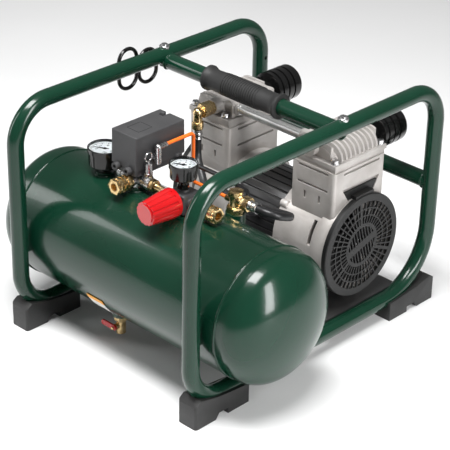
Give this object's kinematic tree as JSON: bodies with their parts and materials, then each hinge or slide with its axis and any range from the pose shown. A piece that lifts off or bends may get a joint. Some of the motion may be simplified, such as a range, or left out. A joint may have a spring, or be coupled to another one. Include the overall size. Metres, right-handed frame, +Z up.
{
  "type": "portable air compressor",
  "caption": "Hand-carry oil-less air compressor: horizontal air tank and opposed-head pump in a rubber-footed tube frame, with pressure switch, regulator, gauges and quick couplers.",
  "frame": {"origin": "on the floor, under the middle of the tank's length and of the frame's depth", "axes": "+X along the tank towards the regulator end, -Y the front with the tank, +Z up"},
  "size_m": [0.552, 0.536, 0.384],
  "materials": {
    "frame_green": "gloss powder coat",
    "tank_green": "gloss powder coat",
    "foot_rubber": "matte moulded",
    "grip_rubber": "matte ribbed",
    "deck_black": "satin paint",
    "bolt_steel": "bright zinc",
    "hook_black": "gloss dip",
    "brass": "machined",
    "zinc": "zinc plated",
    "lever_red": "dipped",
    "switch_black": "fine texture",
    "gauge_black": "gloss",
    "needle": "matte",
    "lens": "clear",
    "knob_red": "gloss",
    "regulator_black": "satin",
    "tube_orange": "smooth",
    "hose_black": "smooth",
    "cast_alu": "sandblasted casting",
    "bright_alu": "drawn",
    "motor_black": "satin",
    "mount_rubber": "matte",
    "steel": "ground",
    "fan_black": "matte",
    "grille_black": "matte",
    "filter_black": "gloss"
  },
  "bodies": {
    "unit": {"left_loop": "frame_green", "right_loop": "frame_green", "handle_tube": "frame_green", "handle_grip": "grip_rubber", "rear_cross_bar": "frame_green", "base_plate": "deck_black", "tank_mounts": "frame_green", "foot_front_left": "foot_rubber", "foot_front_right": "foot_rubber", "foot_rear_left": "foot_rubber", "foot_rear_right": "foot_rubber", "frame_bolts": "bolt_steel", "hose_hooks": "hook_black", "tank_shell": "tank_green", "tank_end_left": "tank_green", "tank_end_right": "tank_green", "drain_valve": "brass", "switch_base": "switch_black", "switch_cover": "switch_black", "manifold": "zinc", "line_nipple": "brass", "safety_valve": "zinc", "check_valve": "brass", "unloader_valve": "zinc", "unloader_tube": "tube_orange", "tank_gauge": "gauge_black", "tank_gauge_lens": "lens", "outlet_gauge": "gauge_black", "outlet_gauge_lens": "lens", "regulator_body": "regulator_black", "left_coupler": "brass", "right_coupler": "brass", "discharge_elbow": "brass", "discharge_hose": "hose_black", "motor_housing": "motor_black", "motor_mounts": "mount_rubber", "crankcase_left": "cast_alu", "crankcase_right": "cast_alu", "head_left": "cast_alu", "head_right": "cast_alu", "shroud_left": "grille_black", "shroud_right": "grille_black", "crossover_tube": "bright_alu", "filter_left": "filter_black", "filter_right": "filter_black", "head_bolts": "bolt_steel", "motor_cable": "hose_black"},
    "shaft": {"rotor_shaft": "steel", "fan_left": "fan_black", "fan_right": "fan_black"},
    "rod_left": {"piston_left": "steel"},
    "rod_right": {"piston_right": "steel"},
    "knob": {"regulator_knob": "knob_red"},
    "drain": {"drain_lever": "lever_red"},
    "switch": {"switch_lever": "needle"},
    "ring": {"safety_ring": "bolt_steel"},
    "sleeve_left": {"left_coupler_sleeve": "brass"},
    "sleeve_right": {"right_coupler_sleeve": "brass"},
    "needle_tank": {"tank_gauge_needle": "needle"},
    "needle_outlet": {"outlet_gauge_needle": "needle"}
  },
  "joints": [
    {"name": "shaft_spin", "type": "hinge", "parent": "unit", "child": "shaft", "pos_m": [0.011, 0.11, 0.141], "axis": [1, 0, 0], "continuous": true},
    {"name": "rod_left_stroke", "type": "slide", "parent": "unit", "child": "rod_left", "axis": [0, 0, 1], "range_m": [0, 0.014]},
    {"name": "rod_right_stroke", "type": "slide", "parent": "unit", "child": "rod_right", "axis": [0, 0, 1], "range_m": [0, 0.014]},
    {"name": "regulator_turn", "type": "hinge", "parent": "unit", "child": "knob", "pos_m": [0.046, -0.1697, 0.26337], "axis": [0, 1, 0], "continuous": true},
    {"name": "drain_turn", "type": "hinge", "parent": "unit", "child": "drain", "pos_m": [-0.05, -0.1857, 0.02626], "axis": [0, 1, 0], "range_deg": [0, 90]},
    {"name": "switch_tip", "type": "hinge", "parent": "unit", "child": "switch", "pos_m": [-0.0675, -0.0717, 0.321], "axis": [1, 0, 0], "range_deg": [-18, 0]},
    {"name": "ring_pull", "type": "slide", "parent": "unit", "child": "ring", "axis": [0, 0, 1], "range_m": [0, 0.003], "stiffness_N_per_m": 300},
    {"name": "sleeve_left_back", "type": "slide", "parent": "unit", "child": "sleeve_left", "axis": [0, 1, 0], "range_m": [0, 0.003], "stiffness_N_per_m": 400},
    {"name": "sleeve_right_back", "type": "slide", "parent": "unit", "child": "sleeve_right", "axis": [-1, 0, 0], "range_m": [0, 0.003], "stiffness_N_per_m": 400},
    {"name": "tank_needle_turn", "type": "hinge", "parent": "unit", "child": "needle_tank", "pos_m": [-0.118, -0.1397, 0.2815], "axis": [0, 0, 1], "range_deg": [-270, 0]},
    {"name": "outlet_needle_turn", "type": "hinge", "parent": "unit", "child": "needle_outlet", "pos_m": [0.046, -0.1397, 0.314], "axis": [0, 0, 1], "range_deg": [-270, 0]}
  ]
}
